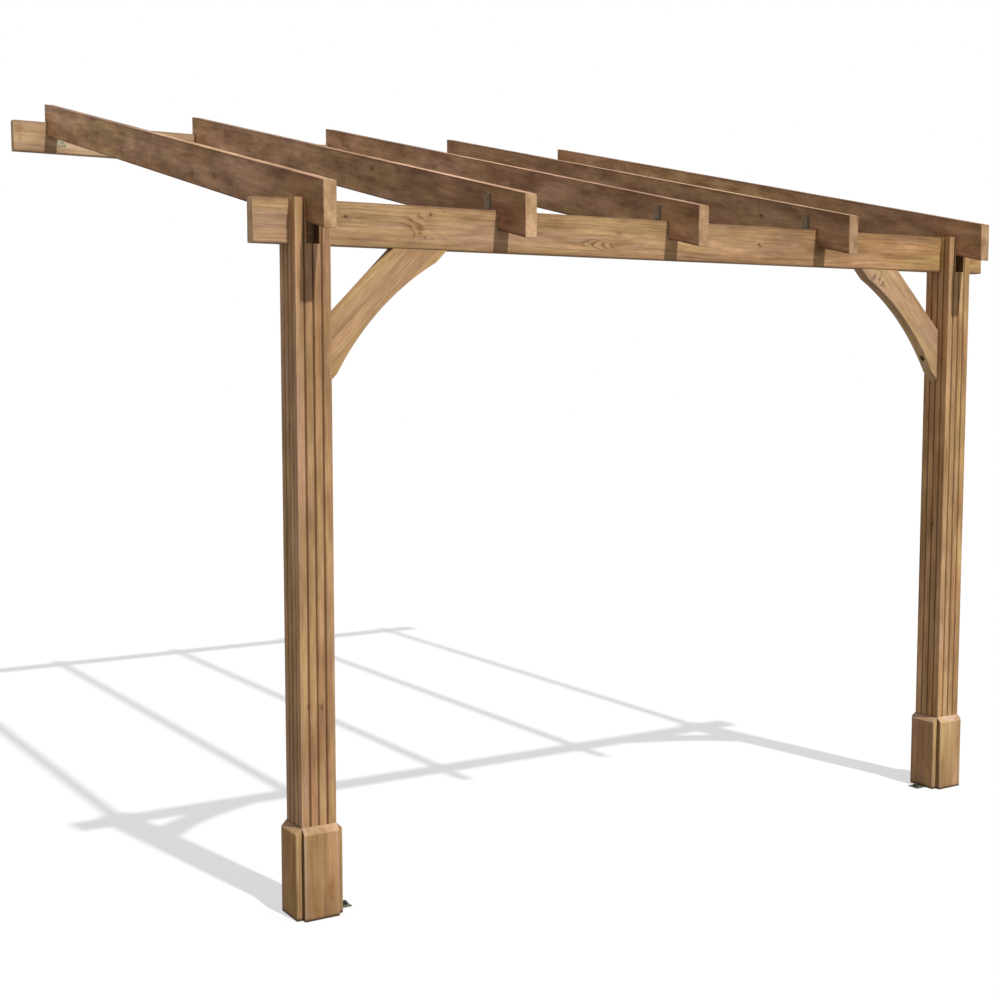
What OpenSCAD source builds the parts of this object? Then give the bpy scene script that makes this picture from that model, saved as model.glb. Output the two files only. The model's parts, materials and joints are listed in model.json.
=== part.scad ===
// Lean-to timber pergola, in millimetres.
// Two grooved posts carry a front beam, and five sloping rafters run from it up to a plate on a wall.
// X runs along the front, Y runs from the front to the wall, and Z is up.
// The origin is the middle of the wall plate's back face, so the ground lies at a negative Z.

/* [Overall] */
// Length along the front, over the outer faces of the two posts
frame_length = 3000; // [2000:10:4800]
// Depth from the front faces of the posts to the wall
frame_depth = 2925; // [1800:5:4200]
// Height from the ground to the underside of the front beam
beam_clearance = 2145; // [1900:5:2500]
// Height from the ground to the underside of the wall plate
plate_clearance = 2750; // [2500:5:3300]
// Length of beam and wall plate that stands out past the outer face of each post
end_overhang = 120; // [60:5:400]

/* [Timber] */
// Side of the square posts
post_w = 120; // [100:5:160]
// Thickness of the boards that make the beam, plate, rafters and braces
board_t = 45; // [30:1:60]
// Width of the boards that make the beam, plate and rafters
board_h = 140; // [110:5:200]
// Gap left on each side of a board where it drops into a slot or a notch
joint_slack = 0.5; // [0.2:0.1:1.5]

/* [Posts] */
// Distance from the front face of a post to the front face of the beam in it
beam_setback = 45; // [20:1:48]
// Number of V grooves down each face of a post
groove_count = 3; // [1:1:3]
// Width of a groove at the face
groove_w = 10; // [4:1:14]
// Depth of a groove
groove_depth = 6; // [2:0.5:8]

/* [Rafters] */
// Length of rafter that stands out in front of the posts
rafter_nose = 128; // [40:1:300]
// Depth of the rafter notch at the front face of the beam
beam_seat = 64.5; // [20:0.5:80]
// Depth of the rafter notch at the front face of the wall plate
plate_seat = 64.5; // [20:0.5:80]

/* [Braces] */
// Distance from the corner of post and beam to the near edge of a brace
brace_reach = 244; // [120:1:600]
// Width of the board that a brace is cut from
brace_w = 140; // [100:1:160]
// Straight length left at each end of the hollowed edge
brace_flat = 55; // [30:1:90]
// Depth of the hollow in the lower edge of a brace
brace_hollow = 35; // [10:1:60]
// Distance from the lower end of the hollowed edge to the screw hole, along that edge
screw_inset = 130; // [100:5:180]
// Diameter of the counterbored screw hole in each brace
screw_hole_d = 22; // [10:1:26]
// Wood left between the bottom of a screw hole and the post
screw_grip = 30; // [15:5:50]

/* [Base boards] */
// Height of the boards round the foot of each post
base_h = 303; // [150:1:500]
// Thickness of the base boards and depth of the slope along their tops
base_t = 21.5; // [15:0.5:30]
// Width of base board that stands out past each corner of the post
base_lap = 1.5; // [0:0.5:4]
// Chamfer down the upright outer edges of the base boards
base_chamfer = 3.5; // [2:0.5:10]

/* [Metalwork] */
// Thickness of the foot brackets
foot_t = 3; // [2:0.5:5]
// Width of the foot brackets
foot_w = 50; // [30:5:80]
// Length of the foot bracket's leg on the ground, from the post
foot_leg = 70; // [60:5:120]
// Height of the foot bracket's leg up the post
foot_rise = 120; // [60:5:140]
// Diameter of the anchor hole in each foot bracket
anchor_d = 11; // [6:1:16]
// Distance from the post to the anchor hole
anchor_reach = 55; // [42:1:65]
// Thickness of the angle clips
clip_t = 2; // [1:0.5:3]
// Width of the clips' legs
clip_w = 40; // [25:1:45]
// Length of the clips' long leg
clip_long = 100; // [60:5:110]
// Length of the clips' short leg
clip_short = 40; // [25:5:50]
// Height of the plate clips' lower end above the underside of the wall plate
plate_clip_lift = 35; // [25:5:60]

/* [Hidden] */
$fn = 48;
POST_COLOR = "#8f6f4f";
BEAM_COLOR = "#a88260";
RAFTER_COLOR = "#6f5138";
BRACE_COLOR = "#a47d58";
BASE_COLOR = "#9a7550";
METAL_COLOR = "#8b8f8c";

// A small overrun, so that a cut goes cleanly through a face
over = 1;
// Rafters, with one over each post and the rest evenly between them
RAFTERS = 5;

// Levels
ground_z = -(plate_clearance + board_h / 2);
beam_z = ground_z + beam_clearance;
beam_top = beam_z + board_h;
plate_z = -board_h / 2;
plate_top = board_h / 2;

// Places along X
left_x = -frame_length / 2;
right_x = frame_length / 2 - post_w;
board_length = frame_length + 2 * end_overhang;
rafter_first = left_x + (post_w - board_t) / 2;
rafter_step = (frame_length - post_w) / (RAFTERS - 1);

// Places along Y
front_y = -frame_depth;
beam_y = front_y + beam_setback;
plate_y = -board_t;
nose_y = front_y - rafter_nose;

// The rafters' underside is a line through the front corners of their two seats
slope = ((plate_top - plate_seat) - (beam_top - beam_seat)) / (plate_y - beam_y);
rafter_rise = board_h * sqrt(1 + slope * slope);
function underside(y) = beam_top - beam_seat + slope * (y - beam_y);
function topside(y) = underside(y) + rafter_rise;

// A brace's hollow is an arc through the ends of its two straight stretches
brace_far = brace_reach + brace_w * sqrt(2);
hollow_chord = brace_far * sqrt(2) - 2 * brace_flat;
hollow_r = (hollow_chord * hollow_chord / 4 + brace_hollow * brace_hollow) / (2 * brace_hollow);

// Room kept round a foot bracket behind and under the base board
foot_room = 0.5;
// Room kept between the inner edges of two neighbouring base boards, along each face
corner_gap = 0.5;

// Mirrors a left-hand piece to the right-hand side
module right_side() {
    mirror([1, 0, 0]) children();
}

// One V groove in the face at Y = 0, over the full height of a post
module groove(height) {
    translate([0, 0, -over])
        linear_extrude(height + 2 * over)
            polygon([[-groove_w / 2, -over], [groove_w / 2, -over], [groove_w / 2, 0],
                [0, groove_depth], [-groove_w / 2, 0]]);
}

// A post with its lower front left corner at the origin, slotted for the beam and a rafter
module post() {
    height = beam_clearance + board_h;
    slot = board_t + 2 * joint_slack;
    pitch = post_w / (groove_count + 1);
    color(POST_COLOR) difference() {
        cube([post_w, post_w, height]);
        for (side = [0:3], i = [1:groove_count])
            translate([post_w / 2, post_w / 2, 0])
                rotate([0, 0, 90 * side])
                    translate([i * pitch - post_w / 2, -post_w / 2, 0]) groove(height);
        translate([-over, beam_setback - joint_slack, beam_clearance])
            cube([post_w + 2 * over, slot, board_h + over]);
        translate([(post_w - slot) / 2, -over, beam_clearance])
            cube([slot, post_w + 2 * over, board_h + over]);
    }
}

// Cuts an upright edge at the origin back by the given size along both of its faces
module edge_cut(size) {
    translate([0, 0, -over])
        rotate([0, 0, 45])
            translate([-size / sqrt(2), -size / sqrt(2), 0])
                cube([sqrt(2) * size, sqrt(2) * size, base_h + 2 * over]);
}

// A base board that stands on the ground against the face at Y = 0, on the -Y side of it
module base_board() {
    color(BASE_COLOR) difference() {
        translate([-base_lap, 0, 0])
            rotate([90, 0, 90])
                linear_extrude(post_w + 2 * base_lap)
                    polygon([[0, 0], [0, base_h], [-base_t, base_h - base_t], [-base_t, 0]]);
        for (x = [-base_lap, post_w + base_lap]) {
            translate([x, -base_t, 0]) edge_cut(base_chamfer);
            translate([x, 0, 0]) edge_cut(base_lap + corner_gap);
        }
    }
}

// Turns a base board about the middle of its post
module round_post(angle) {
    translate([left_x + post_w / 2, front_y + post_w / 2, ground_z])
        rotate([0, 0, angle])
            translate([-post_w / 2, -post_w / 2, 0]) children();
}

// The base board on the inner face is cut away behind and below for the foot bracket
module inner_base_board() {
    difference() {
        round_post(90) base_board();
        translate([left_x + post_w - over, front_y + (post_w - foot_w) / 2 - foot_room, ground_z]) {
            translate([0, 0, -over])
                cube([over + foot_t + foot_room, foot_w + 2 * foot_room, over + foot_rise + foot_room]);
            translate([0, 0, -over])
                cube([over + base_t + over, foot_w + 2 * foot_room, over + foot_t + foot_room]);
        }
    }
}

// A level board along X, with its lower front left corner at the origin
module level_board() {
    color(BEAM_COLOR) cube([board_length, board_t, board_h]);
}

// A rafter, as an upright outline in Y and Z given thickness along X
module rafter(number) {
    back_notch = plate_y - joint_slack;
    notch_front = beam_y - joint_slack;
    notch_back = beam_y + board_t + joint_slack;
    color(RAFTER_COLOR)
        translate([rafter_first + (number - 1) * rafter_step, 0, 0])
            rotate([90, 0, 90])
                linear_extrude(board_t)
                    polygon([
                        [nose_y, underside(nose_y)],
                        [notch_front, underside(notch_front)], [notch_front, beam_top],
                        [notch_back, beam_top], [notch_back, underside(notch_back)],
                        [back_notch, underside(back_notch)], [back_notch, plate_top],
                        [0, plate_top], [0, topside(0)], [nose_y, topside(nose_y)]
                    ]);
}

// The left brace's outline, with the corner of post and beam at the origin and down as -Y
module brace_outline() {
    middle = brace_far / 2;
    to_centre = (hollow_r - brace_hollow) / sqrt(2);
    difference() {
        polygon([[brace_reach, 0], [0, -brace_reach], [0, -brace_far], [brace_far, 0]]);
        translate([middle + to_centre, -middle - to_centre]) circle(r = hollow_r, $fn = 360);
    }
}

// The counterbored hole near a brace's lower end, level and square to the post
module brace_hole() {
    translate([screw_grip, board_t / 2, screw_inset / sqrt(2) - brace_far])
        rotate([0, 90, 0]) cylinder(d = screw_hole_d, h = brace_far);
}

module left_brace() {
    color(BRACE_COLOR)
        translate([left_x + post_w, beam_y, beam_z])
            difference() {
                translate([0, board_t, 0])
                    rotate([90, 0, 0])
                        linear_extrude(board_t) brace_outline();
                brace_hole();
            }
}

// The left foot bracket: one leg on the ground and one up the inner face of the post
module left_foot_bracket() {
    color(METAL_COLOR)
        translate([left_x + post_w, front_y + (post_w - foot_w) / 2, ground_z])
            difference() {
                union() {
                    cube([foot_leg, foot_w, foot_t]);
                    cube([foot_t, foot_w, foot_rise]);
                }
                translate([anchor_reach, foot_w / 2, -over])
                    cylinder(d = anchor_d, h = foot_t + 2 * over);
            }
}

// An angle clip with its corner on the Z axis: one leg runs along +Y, and one along -X
module clip(y_leg, x_leg) {
    color(METAL_COLOR) {
        translate([-clip_t, 0, y_leg[0]]) cube([clip_t, clip_w, y_leg[1] - y_leg[0]]);
        translate([-clip_w, 0, x_leg[0]]) cube([clip_w, clip_t, x_leg[1] - x_leg[0]]);
    }
}

// A clip between a rafter's left face, by its long leg, and the back of the front beam
module beam_clip(number) {
    low = -clip_short;
    translate([rafter_first + (number - 1) * rafter_step, beam_y + board_t, beam_top])
        clip([low, low + clip_long], [low, 0]);
}

// A clip between a rafter's right face and the front of the wall plate, by its long leg
module plate_clip(number) {
    high = plate_clip_lift + clip_long;
    translate([rafter_first + (number - 1) * rafter_step + board_t, plate_y, plate_z])
        rotate([0, 0, 180])
            clip([high - clip_short, high], [plate_clip_lift, high]);
}

translate([left_x, front_y, ground_z]) post();  // left_post
translate([right_x, front_y, ground_z]) post();  // right_post
round_post(0) base_board();  // left_base_front
round_post(180) base_board();  // left_base_back
round_post(-90) base_board();  // left_base_outer
inner_base_board();  // left_base_inner
right_side() round_post(0) base_board();  // right_base_front
right_side() round_post(180) base_board();  // right_base_back
right_side() round_post(-90) base_board();  // right_base_outer
right_side() inner_base_board();  // right_base_inner
translate([-board_length / 2, beam_y, beam_z]) level_board();  // front_beam
translate([-board_length / 2, plate_y, plate_z]) level_board();  // wall_plate
rafter(1);  // rafter_1
rafter(2);  // rafter_2
rafter(3);  // rafter_3
rafter(4);  // rafter_4
rafter(5);  // rafter_5
left_brace();
right_side() left_brace();  // right_brace
left_foot_bracket();
right_side() left_foot_bracket();  // right_foot_bracket
beam_clip(2);  // beam_clip_2
beam_clip(3);  // beam_clip_3
beam_clip(4);  // beam_clip_4
plate_clip(1);  // plate_clip_1
plate_clip(2);  // plate_clip_2
plate_clip(3);  // plate_clip_3
plate_clip(4);  // plate_clip_4
plate_clip(5);  // plate_clip_5
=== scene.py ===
# Lean-to timber pergola: planed and stained softwood, dull galvanised clips and fixings.
import bpy
import json
import math
import random
from mathutils import Euler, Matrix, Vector

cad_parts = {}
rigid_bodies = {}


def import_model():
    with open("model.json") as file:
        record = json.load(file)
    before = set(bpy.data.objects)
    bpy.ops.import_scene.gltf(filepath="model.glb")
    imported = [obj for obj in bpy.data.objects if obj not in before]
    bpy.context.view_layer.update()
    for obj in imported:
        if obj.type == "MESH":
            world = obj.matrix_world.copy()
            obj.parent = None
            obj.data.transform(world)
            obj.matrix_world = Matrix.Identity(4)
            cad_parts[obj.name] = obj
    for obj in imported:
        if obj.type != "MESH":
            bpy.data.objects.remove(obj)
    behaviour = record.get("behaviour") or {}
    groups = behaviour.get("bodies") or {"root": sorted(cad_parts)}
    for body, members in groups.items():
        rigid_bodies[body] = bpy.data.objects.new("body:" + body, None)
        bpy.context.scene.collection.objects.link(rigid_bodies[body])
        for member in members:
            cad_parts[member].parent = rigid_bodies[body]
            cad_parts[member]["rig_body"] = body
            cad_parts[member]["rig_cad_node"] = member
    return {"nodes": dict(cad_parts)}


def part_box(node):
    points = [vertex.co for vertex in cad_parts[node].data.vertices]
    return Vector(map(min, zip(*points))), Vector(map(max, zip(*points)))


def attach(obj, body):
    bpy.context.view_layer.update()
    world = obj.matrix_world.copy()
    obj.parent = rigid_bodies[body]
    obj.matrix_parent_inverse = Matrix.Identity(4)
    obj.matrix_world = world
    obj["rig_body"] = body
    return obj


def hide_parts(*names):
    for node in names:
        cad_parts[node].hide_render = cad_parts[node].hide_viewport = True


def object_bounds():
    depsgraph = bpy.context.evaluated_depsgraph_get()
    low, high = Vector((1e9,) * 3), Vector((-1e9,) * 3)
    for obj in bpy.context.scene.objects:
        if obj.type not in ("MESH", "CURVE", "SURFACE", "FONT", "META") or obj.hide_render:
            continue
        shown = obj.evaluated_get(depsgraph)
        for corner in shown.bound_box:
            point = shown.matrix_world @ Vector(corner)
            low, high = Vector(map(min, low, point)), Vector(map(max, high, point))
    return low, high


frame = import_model()
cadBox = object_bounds()
print("frame loaded:", len(frame["nodes"]), "nodes")

weldWithin = 0.00005  # metres
flatWithin = 0.3  # degrees


# small helpers
def pickOnly(piece):
    bpy.ops.object.select_all(action="DESELECT")
    piece.select_set(True)
    bpy.context.view_layer.objects.active = piece


def copyOfNode(nodeName, pieceName):
    pickOnly(frame["nodes"][nodeName])
    bpy.ops.object.duplicate()
    bpy.ops.object.parent_clear(type="CLEAR_KEEP_TRANSFORM")
    piece = bpy.context.view_layer.objects.active
    piece.name = pieceName
    piece.data.name = pieceName
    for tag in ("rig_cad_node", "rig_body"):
        if tag in piece:
            del piece[tag]
    piece.data.materials.clear()
    bpy.ops.object.mode_set(mode="EDIT")
    bpy.ops.mesh.select_all(action="SELECT")
    bpy.ops.mesh.customdata_custom_splitnormals_clear()
    bpy.ops.mesh.remove_doubles(threshold=weldWithin)
    bpy.ops.mesh.dissolve_limited(angle_limit=math.radians(flatWithin))
    bpy.ops.object.mode_set(mode="OBJECT")
    return piece


def easeEdges(piece, width, segments=2, sharperThan=35):
    pickOnly(piece)
    bpy.ops.object.modifier_add(type="BEVEL")
    bevel = piece.modifiers[-1]
    bevel.width = width
    bevel.segments = segments
    bevel.limit_method = "ANGLE"
    bevel.angle_limit = math.radians(sharperThan)
    bpy.ops.object.modifier_apply(modifier=bevel.name)


def smoothBelow(piece, degrees):
    pickOnly(piece)
    bpy.ops.object.shade_smooth_by_angle(angle=math.radians(degrees))


def settle(piece, nodeName=None):
    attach(piece, "root")
    if nodeName:
        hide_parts(nodeName)


# material helpers
def put(tree, kind, feeds=(), out=0, **choices):
    made = tree.nodes.new("ShaderNode" + kind)
    for choice, value in choices.items():
        setattr(made, choice, value)
    pairs = feeds.items() if isinstance(feeds, dict) else enumerate(feeds)
    for place, value in pairs:
        if isinstance(value, bpy.types.NodeSocket):
            tree.links.new(value, made.inputs[place])
        elif value is not None:
            made.inputs[place].default_value = value
    return made.outputs[out]


def sums(tree, operation, *feeds):
    return put(tree, "Math", feeds, operation=operation)


def vectors(tree, operation, *feeds):
    return put(tree, "VectorMath", feeds, operation=operation)


def partOf(tree, place, axis):
    return put(tree, "SeparateXYZ", [place], out="xyz".index(axis))


def lengthOf(tree, gap):
    return put(tree, "VectorMath", [gap], out="Value", operation="LENGTH")


def dotWith(tree, facing, way):
    return put(tree, "VectorMath", [facing, way], out="Value", operation="DOT_PRODUCT")


def remap(tree, value, low, high, toLow=0.0, toHigh=1.0, smooth=True):
    feeds = [value, low, high, toLow, toHigh]
    return put(tree, "MapRange", feeds, interpolation_type="SMOOTHSTEP" if smooth else "LINEAR")


def mixColour(tree, share, first, second, how="MIX"):
    feeds = {0: share, 6: first, 7: second}
    return put(tree, "Mix", feeds, out=2, data_type="RGBA", blend_type=how, clamp_factor=True)


def grey(level):
    return (level, level, level, 1.0)


# stained softwood, in linear colour
wood = {
    "sand": (0.490, 0.305, 0.150, 1.0),
    "russet": (0.395, 0.218, 0.108, 1.0),
    "olive": (0.450, 0.290, 0.128, 1.0),
    "pink": (0.490, 0.292, 0.178, 1.0),
    "late": (0.215, 0.108, 0.044, 1.0),
    "resin": (0.190, 0.098, 0.045, 1.0),
    "ember": (0.300, 0.130, 0.036, 1.0),
    "knot": (0.060, 0.027, 0.012, 1.0),
    # paler wear on corners, also a painted highlight on the base boards
    "wearAndSheen": (0.570, 0.385, 0.235, 1.0),
    # painted shade in grooves and corners
    "recessShade": (0.100, 0.043, 0.012, 1.0),
    "end": (0.540, 0.352, 0.190, 1.0),
    # painted contact shadow at the feet
    "contactDark": (0.045, 0.027, 0.015, 1.0),
    "ringWidth": 0.0060,
    "sway": (0, 0.050, 0.025),
    "ragged": (0.024, 0.010, 0.010),
    "roughLow": 0.60,
    "roughHigh": 0.82,
    "gloss": 0.2,
    "bump": 0.5,
}
# what the wood's colour is multiplied by in places; all but the pale patch and the cut-end tints are painted
# shade or painted light
shades = {
    "pale": (1.70, 1.85, 2.20, 1.0),
    "arrisDark": (0.42, 0.36, 0.32, 1.0),
    "rimDark": (0.34, 0.28, 0.24, 1.0),
    "topShade": (0.76, 0.75, 0.78, 1.0),
    "topLight": (1.28, 1.43, 1.66),
    "wallEndShade": (0.40, 0.42, 0.47, 1.0),
    "undersideShade": (0.62, 0.56, 0.50, 1.0),
    "cutDark": (0.70, 0.64, 0.56),
    "cutLight": (1.22, 1.22, 1.22),
}
# each noise's scale along and across the grain, its detail and its roughness; a timber draws its random
# shifts in this order
noises = {
    "wander": ((0.9, 2.5, 2.5), 2.0, 0.50),
    "ripple": ((26, 70, 70), 2.0, 0.50),
    "phase": ((2.6, 26, 26), 3.0, 0.50),
    "patch": ((1.7, 13, 13), 4.0, 0.60),
    "streak": ((4.0, 64, 64), 5.0, 0.62),
    "hair": ((10, 210, 210), 3.0, 0.60),
    "fibre": ((34, 720, 720), 2.0, 0.60),
    "resin": ((2.2, 46, 46), 3.0, 0.55),
    "blotch": ((7, 20, 20), 4.0, 0.62),
    "speck": ((260, 260, 90), 3.0, 0.65),
    "broad": ((2.0, 19, 19), 3.0, 0.55),
    "sawn": ((150, 9, 9), 3.0, 0.60),
    "cloud": ((20, 26, 16), 3.0, 0.55),
    "vein": ((16, 16, 16), 1.0, 0.40),
}


def noiseOn(tree, place, kind, shift, colour=False, scale=None):
    usual, detail, rough = noises[kind]
    spot = vectors(tree, "MULTIPLY_ADD", place, scale or usual, shift[kind])
    feeds = {"Vector": spot, "Scale": 1.0, "Detail": detail, "Roughness": rough}
    return put(tree, "TexNoise", feeds, out="Color" if colour else 0)


def multiplied(tree, share, colour, shade):
    return mixColour(tree, share, colour, shade, "MULTIPLY")


def toneBy(tree, colour, field, swing, spread=0.20):
    tone = remap(tree, field, 0.5 - spread, 0.5 + spread, 1 - swing, 1 + swing, smooth=False)
    return multiplied(tree, 1.0, colour, put(tree, "CombineColor", [tone, tone, tone]))


def tintBy(tree, colour, field, low, high, dark, light):
    tint = mixColour(tree, remap(tree, field, low, high, smooth=False), (*dark, 1.0), (*light, 1.0))
    return multiplied(tree, 1.0, colour, tint)


def nearestKnot(tree, loose, knots):
    # distance to the nearest knot, in its own radii
    nearest = None
    for along, across, size, long, through in knots:
        reach = [1 / (size * long), 1 / size, 1 / size]
        reach[1 if through == "y" else 2] = 0.0
        away = tuple(-place * share for place, share in zip((along, across, across), reach))
        span = lengthOf(tree, vectors(tree, "MULTIPLY_ADD", loose, tuple(reach), away))
        nearest = span if nearest is None else sums(tree, "MINIMUM", nearest, span)
    return nearest


def patchAt(tree, loose, patches):
    # the strongest of a few soft oval patches, each (along, across, half length, half width, strength),
    # with a sixth entry for those on the faces to left and right
    strongest = None
    for along, across, long, wide, strength, *onSide in patches:
        reach = [1 / long, 1 / wide, 1 / wide]
        reach[2 if onSide else 1] = 0.0
        away = tuple(-place * share for place, share in zip((along, across, across), reach))
        span = lengthOf(tree, vectors(tree, "MULTIPLY_ADD", loose, tuple(reach), away))
        share = remap(tree, span, 1.0, 0.0, 0.0, strength)
        strongest = share if strongest is None else sums(tree, "MAXIMUM", strongest, share)
    return strongest


def grainPlaces(tree, plan, shift):
    # in grain, x runs along the timber and y and z cross it
    turn = Euler([math.radians(angle) for angle in plan["turn"]])
    home = -(turn.to_matrix() @ plan["centre"])
    axis = turn.to_matrix().transposed() @ Vector((1, 0, 0))
    spot = put(tree, "TexCoord", out="Object")
    facing = put(tree, "TexCoord", out="Normal")
    grain = put(tree, "Mapping", [spot, tuple(home), tuple(turn), (1, 1, 1)])
    wander = noiseOn(tree, grain, "wander", shift, colour=True)
    offset = vectors(tree, "MULTIPLY_ADD", wander, wood["sway"], tuple(-part / 2 for part in wood["sway"]))
    bent = vectors(tree, "ADD", grain, offset)
    ripple = noiseOn(tree, grain, "ripple", shift, colour=True)
    ragged = vectors(tree, "MULTIPLY_ADD", ripple, wood["ragged"], tuple(-part / 2 for part in wood["ragged"]))
    loose = vectors(tree, "ADD", grain, ragged)
    return {"spot": spot, "facing": facing, "grain": grain, "bent": bent, "loose": loose, "axis": tuple(axis)}


def growthRings(tree, plan, places, nearest, shift):
    # rings round a pith outside the timber, bending past knots, and how dark any figure in them is
    loose = places["loose"]
    lag = sums(tree, "MULTIPLY", noiseOn(tree, places["bent"], "phase", shift), 11.0)
    if nearest:
        lag = sums(tree, "MULTIPLY_ADD", remap(tree, nearest, 4.6, 0.5), 8.0, lag)
    ink = None
    for along, across, long, wide, turns, strength in plan.get("swirls", []):
        # rings closed round one place
        away = (-along / long, 0, -across / wide)
        span = lengthOf(tree, vectors(tree, "MULTIPLY_ADD", loose, (1 / long, 0, 1 / wide), away))
        share = remap(tree, span, 1.0, 0.0, smooth=False)
        lag = sums(tree, "MULTIPLY_ADD", share, turns * 2 * math.pi, lag)
        ink = remap(tree, span, 1.15, 0.7, 0.0, strength)
    for tip, across, long, wide, turns, strength in plan.get("arches", []):
        # arches nested one behind the other, the first with its tip at the given place
        place = sums(tree, "MULTIPLY_ADD", partOf(tree, loose, "x"), 1 / long, 1 - tip / long)
        rise = sums(tree, "MULTIPLY_ADD", partOf(tree, loose, "z"), 1 / wide, -across / wide)
        share = remap(tree, sums(tree, "MULTIPLY_ADD", rise, rise, place), 1.0, 0.0, smooth=False)
        lag = sums(tree, "MULTIPLY_ADD", share, turns * 2 * math.pi, lag)
        patch = (tip - long * 0.55, across, abs(long) * 1.1, wide * 1.4, strength)
        share = patchAt(tree, places["grain"], [patch])
        ink = share if ink is None else sums(tree, "MAXIMUM", ink, share)
    pith = vectors(tree, "ADD", places["bent"], plan["pith"])
    rate = 2 * math.pi / (20 * wood["ringWidth"])
    feeds = {"Vector": pith, "Scale": rate, "Distortion": 0.0, "Phase Offset": lag}
    rings = put(tree, "TexWave", feeds, out="Fac", wave_type="RINGS", rings_direction="X", wave_profile="SAW")
    late = put(tree, "ValToRGB", [rings])
    ramp = tree.nodes[-1].color_ramp
    ramp.elements[0].color = grey(0.30)
    ramp.elements[1].color = grey(0.30)
    for place, level in ((0.10, 0.0), (0.50, 0.10), (0.86, 1.0), (0.95, 0.85)):
        ramp.elements.new(place).color = grey(level)
    return late, ink


def stainedWood(tree, plan, places, fields, late, ink, shift):
    # broad drifts of colour, then rings, streaks, fibres and blotches
    grain = places["grain"]
    bent = places["bent"]
    patch = noiseOn(tree, bent, "patch", shift, colour=True)
    colour = wood["sand"]
    drifts = (("russet", 0.38, 0.62, 1.0), ("olive", 0.48, 0.66, 0.7), ("pink", 0.46, 0.62, 0.85))
    for channel, (tone, low, high, most) in enumerate(drifts):
        share = remap(tree, put(tree, "SeparateColor", [patch], out=channel), low, high, 0.0, most)
        colour = mixColour(tree, share, colour, wood[tone])
    figure = plan.get("figure", 0.26)
    if ink:
        figure = sums(tree, "ADD", ink, figure)
    colour = mixColour(tree, sums(tree, "MULTIPLY", late, figure), colour, wood["late"])
    colour = toneBy(tree, colour, noiseOn(tree, bent, "broad", shift), plan.get("broad", 0.13), 0.18)
    swing = plan.get("streak", 0.15)
    colour = toneBy(tree, colour, fields["streak"], swing)
    colour = toneBy(tree, colour, fields["hair"], swing * 0.9)
    colour = toneBy(tree, colour, fields["fibre"], 0.08)
    swing = plan.get("mottle", 0.10)
    dark = (1 - swing, 1 - swing * 1.22, 1 - swing * 1.35)
    light = (1 + swing * 0.90, 1 + swing * 0.95, 1 + swing * 1.05)
    blotch = noiseOn(tree, grain, "blotch", shift, scale=plan.get("blotchSize"))
    colour = tintBy(tree, colour, blotch, 0.34, 0.66, dark, light)
    if plan.get("sawn"):
        # faint marks of the saw, straight across the grain
        colour = toneBy(tree, colour, noiseOn(tree, grain, "sawn", shift), plan["sawn"])
    resin = noiseOn(tree, bent, "resin", shift)
    return mixColour(tree, remap(tree, resin, 0.57, 0.71, 0.0, 0.35), colour, wood["resin"])


def placedMarks(tree, plan, places, colour, nearest, core):
    # stains, knots and the drift of colour along the timber
    grain = places["grain"]
    loose = places["loose"]
    for marks, tone in (("embers", "ember"), ("smudges", "resin")):
        if plan.get(marks):
            colour = mixColour(tree, patchAt(tree, loose, plan[marks]), colour, wood[tone])
    if plan.get("vein"):
        # one thin wandering line of resin inside a soft oval
        line = noiseOn(tree, grain, "vein", {"vein": plan["veinShift"]})
        line = sums(tree, "ABSOLUTE", sums(tree, "SUBTRACT", line, 0.5))
        line = sums(tree, "MULTIPLY", remap(tree, line, 0.020, 0.004), patchAt(tree, grain, plan["vein"]))
        colour = mixColour(tree, line, colour, wood["knot"])
    if plan.get("pale"):
        colour = multiplied(tree, patchAt(tree, loose, plan["pale"]), colour, shades["pale"])
    if nearest:
        halo = sums(tree, "MULTIPLY", remap(tree, nearest, 3.4, 0.9), 0.40)
        colour = mixColour(tree, halo, colour, wood["resin"])
        ink = sums(tree, "MULTIPLY", core, plan.get("knotInk", 0.85))
        colour = mixColour(tree, ink, colour, wood["knot"])
    if plan.get("fade"):
        colour = tintBy(tree, colour, partOf(tree, grain, "x"), *plan["fade"])
    return multiplied(tree, 1.0, colour, (*plan.get("tint", (1.0, 1.0, 1.0)), 1.0))


def edgesAndGrooves(tree, plan, places, fields, colour):
    depths = []
    for axis, half in zip("yz", plan["half"]):
        place = partOf(tree, places["grain"], axis)
        depths.append(sums(tree, "SUBTRACT", half, sums(tree, "ABSOLUTE", place)))
    deeper = sums(tree, "MAXIMUM", *depths)
    # paler corners: wear, and on the base boards' sloped tops a painted highlight
    edge = remap(tree, deeper, plan.get("wearAndSheenWide", 0.006), 0.001)
    wearAndSheen = remap(tree, fields["streak"], 0.35, 0.65, 0.05, plan.get("wearAndSheen", 0.3))
    colour = mixColour(tree, sums(tree, "MULTIPLY", edge, wearAndSheen), colour, wood["wearAndSheen"])
    if plan.get("outline"):
        # painted shade along the arrises
        arrisDark = remap(tree, deeper, 0.0085, 0.0020, 0.0, plan["outline"])
        colour = multiplied(tree, arrisDark, colour, shades["arrisDark"])
    if plan.get("rimShade"):
        # painted shade on a brace's rounded edges too
        flat = sums(tree, "ABSOLUTE", partOf(tree, places["facing"], "y"))
        rimDark = sums(tree, "MULTIPLY", remap(tree, flat, 0.10, 0.30), remap(tree, flat, 0.99, 0.94))
        rimDark = sums(tree, "MULTIPLY", rimDark, plan["rimShade"])
        colour = multiplied(tree, rimDark, colour, shades["rimDark"])
    # painted shade down in the grooves
    if plan.get("grooved"):
        shallow = sums(tree, "MINIMUM", *depths)
        colour = mixColour(tree, remap(tree, shallow, 0.0005, 0.0042, 0.0, 0.66), colour, wood["recessShade"])
    return colour


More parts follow.
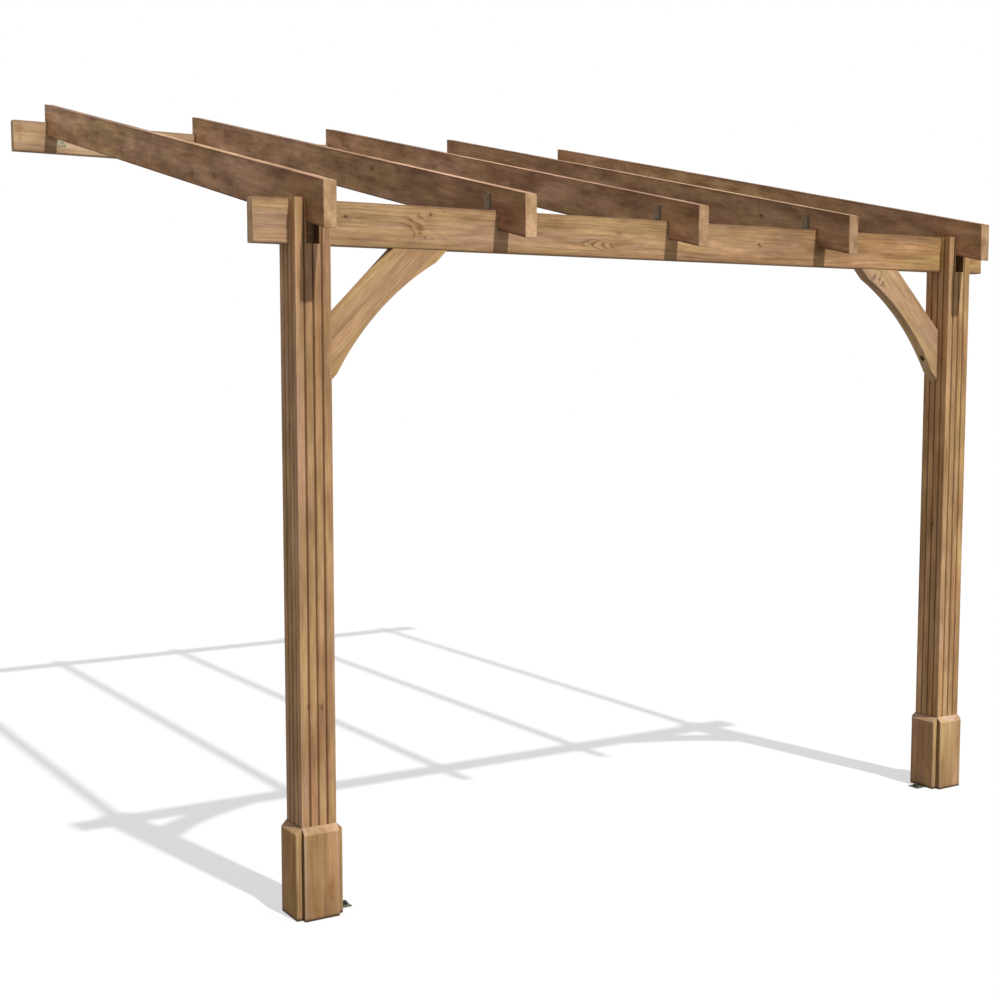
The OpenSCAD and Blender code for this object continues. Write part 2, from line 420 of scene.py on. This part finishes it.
def cutEnds(tree, plan, places, colour, late, shift):
    # cut ends show short specks in place of streaks
    cut = remap(tree, sums(tree, "ABSOLUTE", dotWith(tree, places["facing"], places["axis"])), 0.80, 0.95)
    sawn = mixColour(tree, 0.25, wood["end"], wood["pink"])
    sawn = toneBy(tree, sawn, noiseOn(tree, places["grain"], "speck", shift), 0.20)
    cloud = noiseOn(tree, places["grain"], "cloud", shift)
    sawn = tintBy(tree, sawn, cloud, 0.36, 0.64, shades["cutDark"], shades["cutLight"])
    sawn = mixColour(tree, sums(tree, "MULTIPLY", late, 0.24), sawn, wood["late"])
    sawn = multiplied(tree, 1.0, sawn, grey(plan.get("endTone", 1.0)))
    return mixColour(tree, sums(tree, "MULTIPLY", cut, 0.90), colour, sawn)


def paintedLightAndShade(tree, plan, places, colour):
    grain = places["grain"]
    facing = places["facing"]
    # painted shade: tops and undersides darkened by how light falls on them
    up = dotWith(tree, facing, (0, 0, 1))
    sky = shades["topShade"]
    if plan.get("topLightAndShade"):
        # painted light on the top towards the nose, painted shade towards the wall
        litPlace, shadedPlace, level = plan["topLightAndShade"]
        share = remap(tree, partOf(tree, grain, "x"), litPlace, shadedPlace)
        topLight = [part * level for part in shades["topLight"]]
        sky = mixColour(tree, share, (*topLight, 1.0), shades["wallEndShade"])
    colour = multiplied(tree, remap(tree, up, 0.74, 0.97), colour, sky)
    colour = multiplied(tree, remap(tree, up, -0.45, -0.90), colour, shades["undersideShade"])
    # painted reflection of the sky on the sloped tops
    if plan.get("slopeSheen"):
        slope = sums(tree, "MULTIPLY", remap(tree, up, 0.55, 0.68), remap(tree, up, 0.86, 0.74))
        colour = multiplied(tree, slope, colour, (*plan["slopeSheen"], 1.0))
    # painted shade on the board faces to left and right, in the open corners
    if plan.get("cornerShade"):
        sideways = sums(tree, "ABSOLUTE", dotWith(tree, facing, (1, 0, 0)))
        side = remap(tree, sideways, 0.85, 0.98, 0.0, plan["cornerShade"])
        colour = mixColour(tree, side, colour, wood["recessShade"])
    # the faces to left and right tinted to the shade side's colour: painted shade
    if plan.get("sideShade"):
        sideways = sums(tree, "ABSOLUTE", dotWith(tree, facing, (1, 0, 0)))
        colour = multiplied(tree, remap(tree, sideways, 0.60, 0.98), colour, (*plan["sideShade"], 1.0))
    if plan.get("seam"):
        # painted shade in the corner against the post
        inward = sums(tree, "MULTIPLY", partOf(tree, grain, "z"), plan["seam"])
        paintedShade = remap(tree, inward, plan["half"][1] - 0.0055, plan["half"][1] - 0.0005, 0.0, 0.75)
        colour = mixColour(tree, paintedShade, colour, wood["recessShade"])
    # painted contact shadow along the foot
    if plan.get("contactShadow"):
        tall = partOf(tree, places["spot"], "z")
        contactShade = remap(tree, tall, plan["foot"] + 0.014, plan["foot"] + 0.003, 0.0, 0.85)
        colour = mixColour(tree, contactShade, colour, wood["contactDark"])
    return colour


def timberMaterial(name, plan, seed):
    chance = random.Random(seed)
    shift = {kind: tuple(chance.uniform(-20, 20) for axis in range(3)) for kind in noises}
    material = bpy.data.materials.new(name)
    material.use_nodes = True
    tree = material.node_tree
    shader = tree.nodes["Principled BSDF"]
    places = grainPlaces(tree, plan, shift)
    fields = {kind: noiseOn(tree, places["bent"], kind, shift) for kind in ("streak", "hair", "fibre")}
    nearest = nearestKnot(tree, places["loose"], plan.get("knots", []))
    core = remap(tree, nearest, 1.25, 0.55) if nearest else None
    late, ink = growthRings(tree, plan, places, nearest, shift)
    colour = stainedWood(tree, plan, places, fields, late, ink, shift)
    colour = placedMarks(tree, plan, places, colour, nearest, core)
    colour = edgesAndGrooves(tree, plan, places, fields, colour)
    colour = cutEnds(tree, plan, places, colour, late, shift)
    colour = paintedLightAndShade(tree, plan, places, colour)
    tree.links.new(colour, shader.inputs["Base Color"])
    rough = remap(tree, fields["streak"], 0.3, 0.7, wood["roughHigh"], wood["roughLow"], smooth=False)
    tree.links.new(rough, shader.inputs["Roughness"])
    shader.inputs["Specular IOR Level"].default_value = wood["gloss"]
    height = sums(tree, "MULTIPLY_ADD", fields["fibre"], 0.35, sums(tree, "MULTIPLY", fields["hair"], 0.5))
    height = sums(tree, "MULTIPLY_ADD", late, -0.30, height)
    if core:
        height = sums(tree, "MULTIPLY_ADD", core, -0.5, height)
    feeds = {"Strength": wood["bump"], "Distance": 0.001, "Height": height}
    tree.links.new(put(tree, "Bump", feeds), shader.inputs["Normal"])
    return material


# how each timber lies, as the turn that brings its grain along x
pitch = 12.046  # degrees the rafters climb to the wall
lays = {
    "upright": (0, 90, 0),
    "level": (0, 0, 0),
    "sloped": (-pitch, 0, -90),
    "leanRight": (0, 45, 0),
    "leanLeft": (0, 135, 0),
}
# half the size across the grain
halfPost = (0.060, 0.060)
halfBoard = (0.0225, 0.070)
halfBase = (0.01075, 0.0615)
halfBrace = (1, 1)  # a brace's edges don't follow its grain
# knots are (along, across, radius, how much longer than wide, the way they run through)
# swirls are (along, across, half length, half width, rings, darkness)
# arches are (tip, across, length, half width, arches, darkness), and a negative length turns them round
# a fade is (where it starts, where it ends, the tint before, the tint after)
timbers = {
    "left_post": {
        "lay": "upright", "half": halfPost, "grooved": True, "contactShadow": True, "pith": (0, 0.045, 0.02),
        "mottle": 0.17, "blotchSize": (5, 17, 17), "broad": 0.17, "tint": (0.97, 0.96, 0.93),
        "sideShade": (1.0, 0.975, 0.95), "knotInk": 0.6,
        "knots": [(0.438, -0.002, 0.0045, 2.4, "z"), (-0.452, 0.033, 0.0030, 1.6, "y"),
                  (-0.459, -0.014, 0.0030, 1.6, "y")],
        "embers": [(0.400, 0.010, 0.070, 0.018, 0.55, "z"), (-0.43, 0.020, 0.090, 0.016, 0.30)],
        "smudges": [(0.10, 0.020, 0.160, 0.030, 0.40, "z"), (-0.62, -0.020, 0.150, 0.030, 0.35, "z")],
    },
    "right_post": {
        "lay": "upright", "half": halfPost, "grooved": True, "contactShadow": True, "pith": (0, 0.03, -0.05),
        "mottle": 0.17, "blotchSize": (5, 17, 17), "broad": 0.17, "tint": (1.04, 1.05, 0.96),
        "sideShade": (1.0, 0.94, 0.87), "knotInk": 0.5,
        "knots": [(-0.029, -0.008, 0.0050, 3.0, "z")],
        "smudges": [(-0.06, 0.004, 0.120, 0.026, 0.55, "z"), (0.25, -0.025, 0.120, 0.026, 0.35, "z")],
        "embers": [(0.02, -0.036, 0.100, 0.014, 0.35), (0.20, 0.012, 0.080, 0.012, 0.25)],
    },
    "front_beam": {
        "lay": "level", "half": halfBoard, "pith": (0, -0.075, 0.01),
        "figure": 0.32, "broad": 0.25, "mottle": 0.17, "tint": (0.96, 0.965, 0.90),
        "fade": (-1.5, 1.5, (0.98, 1.00, 1.09), (1.00, 0.98, 0.88)),
        "wearAndSheen": 0.15, "outline": 0.60, "knotInk": 0.75,
        "knots": [(-1.304, 0.021, 0.0045, 1.6, "y"), (-0.999, 0.043, 0.0040, 1.3, "y"),
                  (0.410, 0.002, 0.0040, 1.4, "y")],
        "smudges": [(-1.262, 0.023, 0.050, 0.010, 0.5), (-0.242, 0.017, 0.020, 0.012, 0.6),
                    (-1.040, -0.030, 0.030, 0.016, 0.4), (0.925, 0.012, 0.040, 0.012, 0.3),
                    (1.250, -0.040, 0.030, 0.012, 0.25), (1.174, -0.012, 0.230, 0.011, 0.40),
                    (0.600, -0.050, 0.160, 0.009, 0.30), (-0.278, -0.021, 0.012, 0.007, 0.6)],
        "swirls": [(-1.042, -0.020, 0.030, 0.028, 1.3, 0.68)],
        "arches": [(-0.409, -0.024, -0.135, 0.025, 3.2, 0.78), (-1.100, 0.012, -0.080, 0.042, 1.6, 0.78)],
        "embers": [(-1.060, 0.000, 0.060, 0.046, 0.34), (-1.002, 0.020, 0.030, 0.030, 0.25)],
    },
    "wall_plate": {
        "lay": "level", "half": halfBoard, "pith": (0, -0.085, 0.03),
        "wearAndSheen": 0.15, "outline": 0.60, "tint": (0.97, 1.06, 1.09),
        "knots": [(0.52, -0.02, 0.004, 1.5, "y")],
        "pale": [(-1.300, -0.045, 0.240, 0.060, 1.0)],
        "embers": [(-1.594, 0.034, 0.026, 0.040, 0.60), (-1.590, -0.008, 0.018, 0.030, 0.45)],
    },
    "left_brace": {
        "lay": "leanRight", "half": halfBrace, "eased": 0.0034, "rimShade": 0.8, "pith": (0, 0.09, 0.05),
        "figure": 0.30, "streak": 0.15, "mottle": 0.17, "tint": (0.99, 1.01, 0.89),
    },
    "right_brace": {
        "lay": "leanLeft", "half": halfBrace, "eased": 0.0034, "rimShade": 0.8, "pith": (0, 0.09, 0.04),
        "figure": 0.28, "streak": 0.13, "tint": (1.14, 1.22, 1.25),
        "vein": [(0.215, 0.035, 0.080, 0.070, 0.70)], "veinShift": (3.1, 7.7, 5.2),
    },
}
# what differs from rafter to rafter; the fade runs from nose to wall, and the top's fade gives where the top
# starts and ends turning from painted light to painted shade, and how strong the painted light is
rafters = {
    1: {
        "tint": (1.05, 1.01, 0.95), "endTone": 1.03, "topLightAndShade": (-0.1, 0.55, 0.86),
        "fade": (-1.2, 1.2, (0.74, 0.69, 0.69), (1.14, 1.17, 1.20)),
        "knots": [(-0.428, -0.032, 0.0065, 2.0, "y"), (-0.648, -0.017, 0.0050, 0.9, "y")],
        "smudges": [(-0.648, -0.017, 0.026, 0.016, 0.60), (0.322, 0.066, 0.110, 0.022, 0.35),
                    (0.555, -0.010, 0.070, 0.030, 0.30)],
        "embers": [(-0.045, 0.009, 0.060, 0.030, 0.42), (1.121, -0.036, 0.065, 0.036, 0.50),
                   (1.509, -0.016, 0.050, 0.045, 0.45)],
    },
    2: {
        "tint": (0.97, 0.91, 0.87), "endTone": 1.13, "topLightAndShade": (-0.7, 0.4, 1.00),
        "fade": (-1.2, 1.2, (0.72, 0.69, 0.70), (1.14, 1.17, 1.20)),
        "knots": [(-0.427, 0.031, 0.0060, 2.0, "y")],
        "smudges": [(-0.645, 0.042, 0.040, 0.014, 0.5), (0.219, 0.023, 0.060, 0.020, 0.5),
                    (-1.185, 0.043, 0.040, 0.014, 0.5)],
        "embers": [(1.400, -0.020, 0.060, 0.045, 0.35), (0.150, 0.010, 0.060, 0.030, 0.20)],
    },
    3: {
        "tint": (0.97, 0.925, 0.95), "endTone": 0.94, "topLightAndShade": (0.1, 0.6, 0.82),
        "fade": (-1.2, 1.2, (0.82, 0.78, 0.80), (1.18, 1.18, 1.17)),
        "smudges": [(0.386, 0.0, 0.050, 0.020, 0.6), (-0.85, 0.030, 0.060, 0.020, 0.4)],
        "embers": [(0.900, 0.020, 0.060, 0.030, 0.25)],
    },
    4: {
        "tint": (0.75, 0.705, 0.71), "endTone": 0.76, "topLightAndShade": (0.2, 0.7, 0.93),
        "fade": (-1.2, 1.2, (1.06, 1.07, 1.11), (1.20, 1.20, 1.19)),
        "knots": [(-1.053, 0.004, 0.0050, 2.0, "y")],
        "smudges": [(-1.237, 0.048, 0.040, 0.014, 0.5), (-0.959, 0.023, 0.040, 0.016, 0.5)],
        "embers": [(-0.300, -0.010, 0.060, 0.030, 0.20)],
    },
    5: {
        "tint": (1.02, 0.99, 0.96), "endTone": 0.89, "topLightAndShade": (-1.9, -1.0, 0.8),
        "fade": (-1.2, 1.2, (0.82, 0.79, 0.80), (1.18, 1.18, 1.17)),
        "smudges": [(-0.55, -0.02, 0.050, 0.020, 0.5)],
        "embers": [(-1.000, 0.020, 0.060, 0.030, 0.25)],
    },
}
for number, own in rafters.items():
    timbers[f"rafter_{number}"] = {
        "lay": "sloped", "half": halfBoard, "pith": (0, 0.060, 0.016 * number - 0.04),
        "figure": 0.18, "broad": 0.08, "streak": 0.10, "mottle": 0.38, "blotchSize": (4.5, 14, 14),
        "sawn": 0.07, "wearAndSheen": 0.0, "outline": 0.75, **own,
    }
# the boards round each foot, and which of them has its post on its left
baseLooks = {
    "left": {
        "tint": (0.88, 0.86, 0.74), "sideShade": (0.86, 0.785, 0.64), "cornerShade": 0.84, "postOnLeft": "inner",
    },
    "right": {
        "tint": (1.01, 1.06, 0.94), "sideShade": (0.88, 0.76, 0.83), "cornerShade": 0.70, "postOnLeft": "outer",
    },
}
baseEmbers = {
    "left_base_front": [(-0.055, -0.030, 0.060, 0.024, 0.60), (-0.118, 0.018, 0.040, 0.018, 0.45)],
    "right_base_front": [(-0.036, 0.045, 0.090, 0.016, 0.50)],
    "right_base_inner": [(-0.034, 0.023, 0.045, 0.022, 0.45, "z"), (-0.058, -0.036, 0.040, 0.014, 0.50, "z")],
}
for side, look in baseLooks.items():
    for place in ("front", "back", "outer", "inner"):
        nodeName = f"{side}_base_{place}"
        plan = {
            "lay": "upright", "contactShadow": True, "figure": 0.20, "streak": 0.10, "eased": 0.0010,
            "wearAndSheen": 0.9, "wearAndSheenWide": 0.009, "tint": look["tint"], "slopeSheen": (0.99, 1.06, 1.36),
            "embers": baseEmbers.get(nodeName, []),
        }
        if place in ("front", "back"):
            plan["half"] = halfBase
            plan["pith"] = (0, 0.08, 0.03)
            plan["cornerShade"] = look["cornerShade"]
        else:
            plan["half"] = halfBase[::-1]
            plan["pith"] = (0, 0.03, 0.08)
            plan["sideShade"] = look["sideShade"]
            plan["seam"] = 1 if place == look["postOnLeft"] else -1
        timbers[nodeName] = plan

braceMiddle = 0.39  # from the corner of post and beam to the middle of a brace, in parts of its box
firstSeed = 40
for order, (nodeName, plan) in enumerate(timbers.items()):
    low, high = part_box(nodeName)
    middle = (low + high) / 2
    if "brace" in nodeName:
        inward = braceMiddle * (high.x - low.x)
        middle.x = low.x + inward if nodeName == "left_brace" else high.x - inward
        middle.z = high.z - braceMiddle * (high.z - low.z)
    plan["turn"] = lays[plan["lay"]]
    plan["foot"] = low.z
    plan["centre"] = middle
    piece = copyOfNode(nodeName, nodeName + "_timber")
    easeEdges(piece, plan.get("eased", 0.0024))
    piece.data.materials.append(timberMaterial(nodeName + "_wood", plan, firstSeed + order))
    smoothBelow(piece, 20)
    settle(piece, nodeName)
print("timbers made:", len(timbers))


# galvanised steel: its dark and bright tone, how metallic it is and how fine its flakes are
steels = {
    "weathered_zinc": ((0.37, 0.325, 0.215, 1.0), (0.53, 0.480, 0.335, 1.0), 0.25, 160.0),
    # a darker brown copy of the zinc: painted shade and a painted reflection of the timber
    "shaded_zinc": ((0.165, 0.108, 0.055, 1.0), (0.250, 0.176, 0.088, 1.0), 0.1, 160.0),
    "dark_zinc": ((0.070, 0.068, 0.052, 1.0), (0.160, 0.158, 0.130, 1.0), 0.35, 160.0),
    "dark_bolt": ((0.018, 0.016, 0.009, 1.0), (0.045, 0.042, 0.026, 1.0), 0.35, 260.0),
    "dark_screw": ((0.045, 0.040, 0.030, 1.0), (0.10, 0.09, 0.07, 1.0), 0.6, 400.0),
}
# the colour of the painted shadow on the beam clips
steelShadow = (0.050, 0.030, 0.016, 1.0)


def steelMaterial(name, shadowAlong=None):
    dark, bright, metal, flakes = steels[name]
    material = bpy.data.materials.new(name)
    material.use_nodes = True
    tree = material.node_tree
    shader = tree.nodes["Principled BSDF"]
    spot = put(tree, "TexCoord", out="Object")
    cells = put(tree, "TexVoronoi", {"Vector": spot, "Scale": flakes}, out="Color")
    flake = put(tree, "SeparateColor", [cells], out=0)
    cloud = put(tree, "TexNoise", {"Vector": spot, "Scale": 34.0, "Detail": 4.0}, out=0)
    share = sums(tree, "MULTIPLY_ADD", flake, 0.35, sums(tree, "MULTIPLY", cloud, 0.65))
    colour = mixColour(tree, remap(tree, share, 0.25, 0.75), dark, bright)
    if shadowAlong:
        # painted shadow towards the front, from the first place to the second
        paintedShade = remap(tree, partOf(tree, spot, "y"), *shadowAlong, 0.0, 0.85)
        colour = mixColour(tree, paintedShade, colour, steelShadow)
    tree.links.new(colour, shader.inputs["Base Color"])
    shader.inputs["Metallic"].default_value = metal
    tree.links.new(remap(tree, share, 0.2, 0.8, 0.66, 0.46), shader.inputs["Roughness"])
    feeds = {"Strength": 0.3, "Distance": 0.0003, "Height": share}
    tree.links.new(put(tree, "Bump", feeds), shader.inputs["Normal"])
    return material


clipSteel = steelMaterial("weathered_zinc")
# the clips on the beam, under the rafters, get the darker copy, with a painted shadow towards the front
low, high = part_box("beam_clip_2")
beamSteel = steelMaterial("shaded_zinc", [low.y * 0.6 + high.y * 0.4, low.y * 0.85 + high.y * 0.15])
footSteel = steelMaterial("dark_zinc")
boltSteel = steelMaterial("dark_bolt")
holeSteel = steelMaterial("dark_screw")

beamClips = [f"beam_clip_{number}" for number in (2, 3, 4)]
plateClips = [f"plate_clip_{number}" for number in range(1, 6)]
brackets = ["left_foot_bracket", "right_foot_bracket"]
for nodeNames, steel in ((beamClips, beamSteel), (plateClips, clipSteel), (brackets, footSteel)):
    for nodeName in nodeNames:
        piece = copyOfNode(nodeName, nodeName + "_steel")
        easeEdges(piece, 0.0006)
        piece.data.materials.append(steel)
        settle(piece, nodeName)
print("brackets and clips made:", len(beamClips + plateClips + brackets))


# fixings
def turnedBar(sides, across, long, start, way):
    bpy.ops.object.select_all(action="DESELECT")
    way = Vector(way)
    tilt = Vector((0, 0, 1)).rotation_difference(way).to_euler()
    middle = Vector(start) + way * (long / 2)
    bpy.ops.mesh.primitive_cylinder_add(
        vertices=sides, radius=across / 2, depth=long, location=middle, rotation=tilt)
    bpy.ops.object.transform_apply(location=True, rotation=True, scale=True)
    return bpy.context.view_layer.objects.active


def roundRims(piece, width, segments=2):
    easeEdges(piece, width, segments, 65)


def overCorners(acrossFlats):
    return acrossFlats / math.cos(math.radians(30))


def pickCap(piece, way):
    # leaves edit mode on, with only the outward flat end selected
    pickOnly(piece)
    bpy.ops.object.mode_set(mode="EDIT")
    bpy.ops.mesh.select_mode(type="FACE")
    bpy.ops.mesh.select_all(action="DESELECT")
    bpy.ops.object.mode_set(mode="OBJECT")
    caps = [face for face in piece.data.polygons if face.normal.dot(Vector(way)) > 0.999]
    far = max(face.center.dot(Vector(way)) for face in caps)
    for face in caps:
        face.select = face.center.dot(Vector(way)) > far - 0.0001
    bpy.ops.object.mode_set(mode="EDIT")


def push(way, distance, narrow=None):
    step = Vector(way) * distance
    bpy.ops.mesh.extrude_region_move(TRANSFORM_OT_translate={"value": tuple(step)})
    if narrow:
        bpy.ops.transform.resize(value=(narrow, narrow, 1))


def joinAs(name, parts, material):
    bpy.ops.object.select_all(action="DESELECT")
    for part in parts:
        part.select_set(True)
    bpy.context.view_layer.objects.active = parts[0]
    bpy.ops.object.join()
    piece = bpy.context.view_layer.objects.active
    piece.name = name
    piece.data.name = name
    piece.data.materials.clear()
    piece.data.materials.append(material)
    smoothBelow(piece, 32)
    settle(piece)


clipScrews = {
    "across": 0.0085,
    "high": 0.0026,
    "sheetThick": 0.002,
    "pastMiddle": 0.002,
    "beamDrops": (0.015, 0.050, 0.085),
    "beamRise": 0.020,
    "beamInward": (0.011, 0.026),
    "plateDrop": 0.020,
    "plateInward": (0.011, 0.027),
    "plateSide": 0.019,
    "plateRises": (0.018, 0.050),
}


def screwHead(start, way):
    head = turnedBar(20, clipScrews["across"], clipScrews["high"], start, way)
    roundRims(head, clipScrews["high"] * 0.55, 3)
    pickCap(head, way)
    bpy.ops.mesh.inset(thickness=clipScrews["across"] * 0.10, depth=0)
    push(way, -clipScrews["high"] * 0.5)
    bpy.ops.object.mode_set(mode="OBJECT")
    return head


thick = clipScrews["sheetThick"]
for nodeName in beamClips:
    low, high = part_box(nodeName)
    across = (low.y + high.y) / 2 + clipScrews["pastMiddle"]
    heads = []
    for drop in clipScrews["beamDrops"]:
        heads.append(screwHead((high.x - thick, across, high.z - drop), (-1, 0, 0)))
    for inward in clipScrews["beamInward"]:
        heads.append(screwHead((low.x + inward, low.y + thick, low.z + clipScrews["beamRise"]), (0, 1, 0)))
    joinAs(nodeName + "_screws", heads, beamSteel)
for nodeName in plateClips:
    low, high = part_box(nodeName)
    heads = []
    for inward in clipScrews["plateInward"]:
        heads.append(screwHead((low.x + thick, low.y + inward, high.z - clipScrews["plateDrop"]), (1, 0, 0)))
    for rise in clipScrews["plateRises"]:
        heads.append(screwHead((high.x - clipScrews["plateSide"], high.y - thick, low.z + rise), (0, -1, 0)))
    joinAs(nodeName + "_screws", heads, clipSteel)
print("clip screws made")

anchor = {
    "reach": 0.055,
    "sheetThick": 0.003,
    "washerAcross": 0.022,
    "washerThick": 0.0020,
    "washerRim": 0.0005,
    "nutAcross": 0.017,
    "nutHigh": 0.0065,
    "nutRim": 0.0012,
    "studAcross": 0.010,
    "studSunk": 0.0008,
    "threads": 2,
    "threadStep": 0.0016,
    "threadRoot": 0.86,
    "tipHigh": 0.0010,
    "tipShare": 0.8,
}
up = (0, 0, 1)
for side, reach in (("left", anchor["reach"]), ("right", -anchor["reach"])):
    low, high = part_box(f"{side}_foot_bracket")
    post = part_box(f"{side}_post")
    boltX = (post[1].x if side == "left" else post[0].x) + reach
    boltY = (low.y + high.y) / 2
    top = low.z + anchor["sheetThick"]
    washer = turnedBar(36, anchor["washerAcross"], anchor["washerThick"], (boltX, boltY, top), up)
    roundRims(washer, anchor["washerRim"])
    top += anchor["washerThick"]
    nut = turnedBar(6, overCorners(anchor["nutAcross"]), anchor["nutHigh"], (boltX, boltY, top), up)
    roundRims(nut, anchor["nutRim"])
    top += anchor["nutHigh"] - anchor["studSunk"]
    stud = turnedBar(24, anchor["studAcross"], anchor["studSunk"], (boltX, boltY, top), up)
    pickCap(stud, up)
    for thread in range(anchor["threads"]):
        push(up, anchor["threadStep"] / 2, anchor["threadRoot"])
        push(up, anchor["threadStep"] / 2, 1 / anchor["threadRoot"])
    push(up, anchor["tipHigh"], anchor["tipShare"])
    bpy.ops.object.mode_set(mode="OBJECT")
    joinAs(f"{side}_anchor_bolt", [nut, washer, stud], boltSteel)
print("anchor bolts made")

braceScrew = {
    "grip": 0.030,  # wood left under the head
    "holeAlong": 0.130,  # the hole's distance from the lower end
    "flangeAcross": 0.0175,
    "flangeThick": 0.0022,
    "flangeRim": 0.0007,
    "hexAcross": 0.0100,
    "hexHigh": 0.0060,
    "hexRim": 0.0008,
}
for side, way in (("left", (1, 0, 0)), ("right", (-1, 0, 0))):
    low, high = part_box(f"{side}_brace")
    seat = low.x + braceScrew["grip"] if side == "left" else high.x - braceScrew["grip"]
    start = Vector((seat, (low.y + high.y) / 2, low.z + braceScrew["holeAlong"] / math.sqrt(2)))
    flange = turnedBar(32, braceScrew["flangeAcross"], braceScrew["flangeThick"], start, way)
    roundRims(flange, braceScrew["flangeRim"])
    hexStart = start + Vector(way) * braceScrew["flangeThick"]
    hexHead = turnedBar(6, overCorners(braceScrew["hexAcross"]), braceScrew["hexHigh"], hexStart, way)
    roundRims(hexHead, braceScrew["hexRim"])
    joinAs(f"{side}_brace_screw", [flange, hexHead], holeSteel)
print("brace screws made")


# floor, light and camera
stageSet = {
    "groundGap": 0.0003,
    "floorSize": 60,
    "floorGrey": 0.30,
    "floorLift": 0.585,
    "sky": 0.38,
    "sunPower": 3.9,
    "sunAngle": 1.2,
    "sunTravel": (-0.1004, 0.5805, -1.0),
    "sunPlace": (0, -6, 6),
    "eye": (-3.42538, -7.26173, -1.03776),
    "eyeTurn": (84.768, 0.0, -31.564),
    "lens": 54.523,
    "sightEnd": 200,
}


def seenDirectly(tree):
    # 1 for what the camera sees, straight or in a reflection, and 0 for light falling on the timber
    ray = tree.nodes.new("ShaderNodeLightPath")
    seen = sums(tree, "MAXIMUM", ray.outputs["Is Camera Ray"], ray.outputs["Is Glossy Ray"])
    return sums(tree, "MAXIMUM", seen, ray.outputs["Is Transmission Ray"])


groundLevel = cadBox[0].z - stageSet["groundGap"]
bpy.ops.object.select_all(action="DESELECT")
bpy.ops.mesh.primitive_plane_add(size=stageSet["floorSize"], location=(0, 0, groundLevel))
floor = bpy.context.view_layer.objects.active
floor.name = "white_floor"
bpy.ops.object.transform_apply(location=True, rotation=True, scale=True)
floorPaint = bpy.data.materials.new("white_floor")
floorPaint.use_nodes = True
tree = floorPaint.node_tree
tree.nodes.clear()
lift = sums(tree, "MULTIPLY", seenDirectly(tree), stageSet["floorLift"])
matte = put(tree, "BsdfDiffuse", {"Color": grey(stageSet["floorGrey"])})
glow = put(tree, "Emission", {"Color": grey(1.0), "Strength": lift})
surface = put(tree, "AddShader", [matte, glow])
output = tree.nodes.new("ShaderNodeOutputMaterial")
tree.links.new(surface, output.inputs["Surface"])
floor.data.materials.append(floorPaint)

world = bpy.data.worlds.new("plain_sky")
bpy.context.scene.world = world
world.use_nodes = True
tree = world.node_tree
tree.nodes.clear()
power = remap(tree, seenDirectly(tree), 0.0, 1.0, stageSet["sky"], 1.0, smooth=False)
sky = put(tree, "Background", {"Color": grey(1.0), "Strength": power})
output = tree.nodes.new("ShaderNodeOutputWorld")
tree.links.new(sky, output.inputs["Surface"])

bpy.ops.object.light_add(type="SUN", location=stageSet["sunPlace"])
sun = bpy.context.view_layer.objects.active
sun.name = "studio_sun"
sun.data.energy = stageSet["sunPower"]
sun.data.angle = math.radians(stageSet["sunAngle"])
sun.rotation_euler = Vector(stageSet["sunTravel"]).to_track_quat("-Z", "Y").to_euler()

eyeTurn = [math.radians(angle) for angle in stageSet["eyeTurn"]]
bpy.ops.object.camera_add(location=stageSet["eye"], rotation=eyeTurn)
camera = bpy.context.view_layer.objects.active
camera.name = "main_camera"
camera.data.lens = stageSet["lens"]
camera.data.clip_end = stageSet["sightEnd"]
bpy.context.scene.camera = camera
bpy.context.scene.view_settings.view_transform = "Standard"
print("stage, light and camera set")
